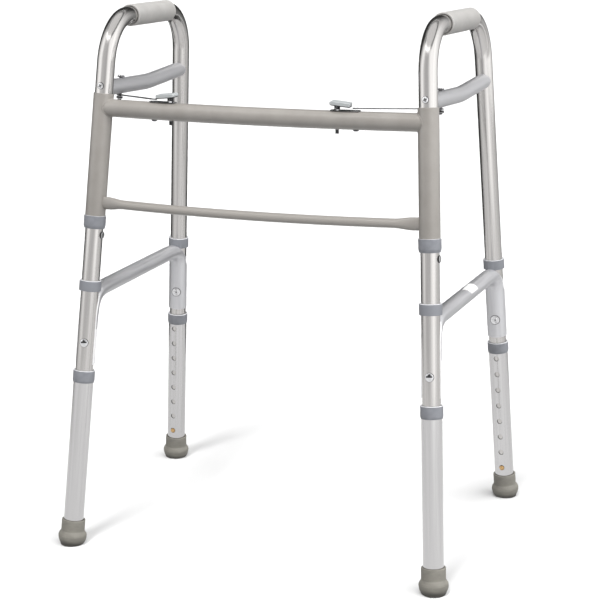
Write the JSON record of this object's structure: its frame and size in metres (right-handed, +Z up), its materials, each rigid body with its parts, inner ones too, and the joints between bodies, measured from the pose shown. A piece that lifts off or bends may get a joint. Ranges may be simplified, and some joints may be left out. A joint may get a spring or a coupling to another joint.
{
  "type": "folding walker",
  "caption": "Folding walking frame of tube: side frames with hand grips swing on a latched front frame, on height-adjustable legs with rubber tips.",
  "frame": {"origin": "on the floor, midway between the four feet", "axes": "+X to the right as seen from in front, +Y from the front frame towards the open side, +Z up"},
  "size_m": [0.6012, 0.4318, 0.7663],
  "materials": {
    "satin_aluminium": "satin",
    "taupe_paint": "satin",
    "grey_paint": "satin",
    "slate_plastic": "matte",
    "grey_grip": "matte",
    "grey_rubber": "matte",
    "bright_steel": "bright zinc",
    "brass": "satin",
    "pale_plastic": "satin"
  },
  "bodies": {
    "front_frame": {"front_sleeve_left": "taupe_paint", "front_sleeve_right": "taupe_paint", "hinge_collar_left": "slate_plastic", "hinge_collar_right": "slate_plastic", "crossbar": "taupe_paint", "lower_crossbar": "taupe_paint", "latch_plate_left": "bright_steel", "latch_plate_right": "bright_steel", "latch_rivet_left": "bright_steel", "latch_rivet_right": "bright_steel", "latch_pin_left": "bright_steel", "latch_pin_right": "bright_steel"},
    "paddle_left": {"latch_paddle_left": "pale_plastic"},
    "paddle_right": {"latch_paddle_right": "pale_plastic"},
    "side_left": {"side_tube_left": "satin_aluminium", "hand_grip_left": "grey_grip", "upper_brace_left": "grey_paint", "lower_brace_left": "grey_paint", "front_brace_collar_left": "slate_plastic", "rear_brace_collar_left": "slate_plastic", "stop_pin_left": "bright_steel", "brace_screw_left": "bright_steel", "front_brace_rivet_left": "bright_steel", "rear_brace_rivet_left": "bright_steel", "brace_bolt_left": "bright_steel", "brace_nut_left": "bright_steel"},
    "side_right": {"side_tube_right": "satin_aluminium", "hand_grip_right": "grey_grip", "upper_brace_right": "grey_paint", "lower_brace_right": "grey_paint", "front_brace_collar_right": "slate_plastic", "rear_brace_collar_right": "slate_plastic", "stop_pin_right": "bright_steel", "brace_screw_right": "bright_steel", "front_brace_rivet_right": "bright_steel", "rear_brace_rivet_right": "bright_steel", "brace_bolt_right": "bright_steel", "brace_nut_right": "bright_steel"},
    "stay_left": {"latch_stay_left": "bright_steel"},
    "stay_right": {"latch_stay_right": "bright_steel"},
    "foot_front_left": {"leg_extension_front_left": "satin_aluminium", "extension_collar_front_left": "slate_plastic", "rubber_tip_front_left": "grey_rubber"},
    "foot_front_right": {"leg_extension_front_right": "satin_aluminium", "extension_collar_front_right": "slate_plastic", "rubber_tip_front_right": "grey_rubber"},
    "foot_rear_left": {"leg_extension_rear_left": "satin_aluminium", "extension_collar_rear_left": "slate_plastic", "rubber_tip_rear_left": "grey_rubber"},
    "foot_rear_right": {"leg_extension_rear_right": "satin_aluminium", "extension_collar_rear_right": "slate_plastic", "rubber_tip_rear_right": "grey_rubber"},
    "button_front_left": {"snap_button_front_left": "brass"},
    "button_front_right": {"snap_button_front_right": "brass"},
    "button_rear_left": {"snap_button_rear_left": "brass"},
    "button_rear_right": {"snap_button_rear_right": "brass"}
  },
  "joints": [
    {"name": "fold_left", "type": "hinge", "parent": "front_frame", "child": "side_left", "pos_m": [-0.24682, -0.13825, 0.4637], "axis": [0.0578, 0.1241, 0.9906], "range_deg": [-82, 0]},
    {"name": "fold_right", "type": "hinge", "parent": "front_frame", "child": "side_right", "pos_m": [0.24682, -0.13825, 0.4637], "axis": [-0.0578, 0.1241, 0.9906], "range_deg": [0, 82]},
    {"name": "stay_turn_left", "type": "hinge", "parent": "side_left", "child": "stay_left", "pos_m": [-0.23763, -0.0608, 0.6404], "axis": [0.0578, 0.1241, 0.9906], "range_deg": [0, 129]},
    {"name": "stay_turn_right", "type": "hinge", "parent": "side_right", "child": "stay_right", "pos_m": [0.23763, -0.0608, 0.6404], "axis": [-0.0578, 0.1241, 0.9906], "range_deg": [-125, 0]},
    {"name": "press_paddle_left", "type": "hinge", "parent": "front_frame", "child": "paddle_left", "pos_m": [-0.12829, -0.12869, 0.6527], "axis": [0.0726, 0.9974, 0], "range_deg": [0, 10], "stiffness_Nm_per_rad": 0.3},
    {"name": "press_paddle_right", "type": "hinge", "parent": "front_frame", "child": "paddle_right", "pos_m": [0.11429, -0.12965, 0.6527], "axis": [0.0646, -0.9979, 0], "range_deg": [0, 10], "stiffness_Nm_per_rad": 0.3},
    {"name": "extend_front_left", "type": "slide", "parent": "side_left", "child": "foot_front_left", "axis": [-0.0578, -0.1241, -0.9906], "range_m": [0, 0.1778]},
    {"name": "extend_front_right", "type": "slide", "parent": "side_right", "child": "foot_front_right", "axis": [0.0578, -0.1241, -0.9906], "range_m": [0, 0.1778]},
    {"name": "extend_rear_left", "type": "slide", "parent": "side_left", "child": "foot_rear_left", "axis": [-0.06, 0.0453, -0.9972], "range_m": [0, 0.1778]},
    {"name": "extend_rear_right", "type": "slide", "parent": "side_right", "child": "foot_rear_right", "axis": [0.06, 0.0453, -0.9972], "range_m": [0, 0.1778]},
    {"name": "press_button_front_left", "type": "slide", "parent": "side_left", "child": "button_front_left", "axis": [0, -0.9922, 0.1243], "range_m": [0, 0.0039], "stiffness_N_per_m": 2500, "deforming": ["snap_button_front_left"]},
    {"name": "press_button_front_right", "type": "slide", "parent": "side_right", "child": "button_front_right", "axis": [0, -0.9922, 0.1243], "range_m": [0, 0.0039], "stiffness_N_per_m": 2500, "deforming": ["snap_button_front_right"]},
    {"name": "press_button_rear_left", "type": "slide", "parent": "side_left", "child": "button_rear_left", "axis": [0, 0.999, 0.0454], "range_m": [0, 0.0039], "stiffness_N_per_m": 2500, "deforming": ["snap_button_rear_left"]},
    {"name": "press_button_rear_right", "type": "slide", "parent": "side_right", "child": "button_rear_right", "axis": [0, 0.999, 0.0454], "range_m": [0, 0.0039], "stiffness_N_per_m": 2500, "deforming": ["snap_button_rear_right"]}
  ],
  "couplings": [
    {"joint": "stay_turn_left", "follows": "fold_left", "ratio": -1.5638},
    {"joint": "stay_turn_right", "follows": "fold_right", "ratio": -1.5181}
  ]
}
